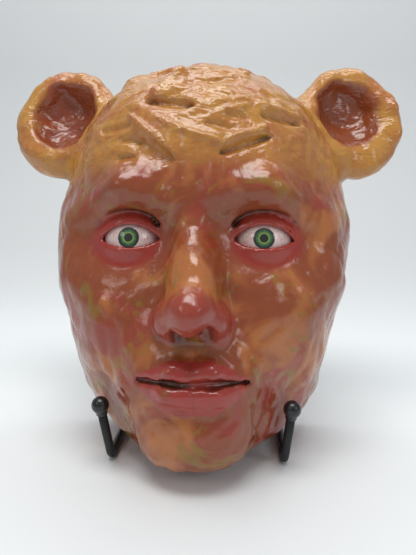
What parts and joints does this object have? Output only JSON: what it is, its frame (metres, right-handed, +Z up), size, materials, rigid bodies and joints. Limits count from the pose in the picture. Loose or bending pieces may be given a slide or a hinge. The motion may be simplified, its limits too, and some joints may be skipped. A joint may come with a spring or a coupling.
{
  "type": "bear mask on a wire display stand",
  "caption": "Hollow painted clay mask with a calm face and round cupped bear ears, leaning on a bent wire display stand with ball-tipped posts.",
  "frame": {"origin": "on the shelf, under the middle of the whole piece", "axes": "+Z up, the face looks along -Y, +X to the viewer's right"},
  "size_m": [0.2612, 0.1652, 0.2313],
  "materials": {
    "mask_clay": "air-dry clay, hand painted and gloss varnished",
    "ear_clay": "air-dry clay, hand painted and gloss varnished",
    "eye_paint": "air-dry clay, painted eyes, gloss varnished",
    "stand_enamel": "satin black enamel on steel wire",
    "cap_enamel": "gloss black enamel"
  },
  "bodies": {
    "root": {"mask_shell": "mask_clay", "ear_left": "ear_clay", "ear_right": "ear_clay", "eye_left": "eye_paint", "eye_right": "eye_paint", "stand_frame": "stand_enamel", "ball_cap_left": "cap_enamel", "ball_cap_right": "cap_enamel"}
  },
  "joints": []
}
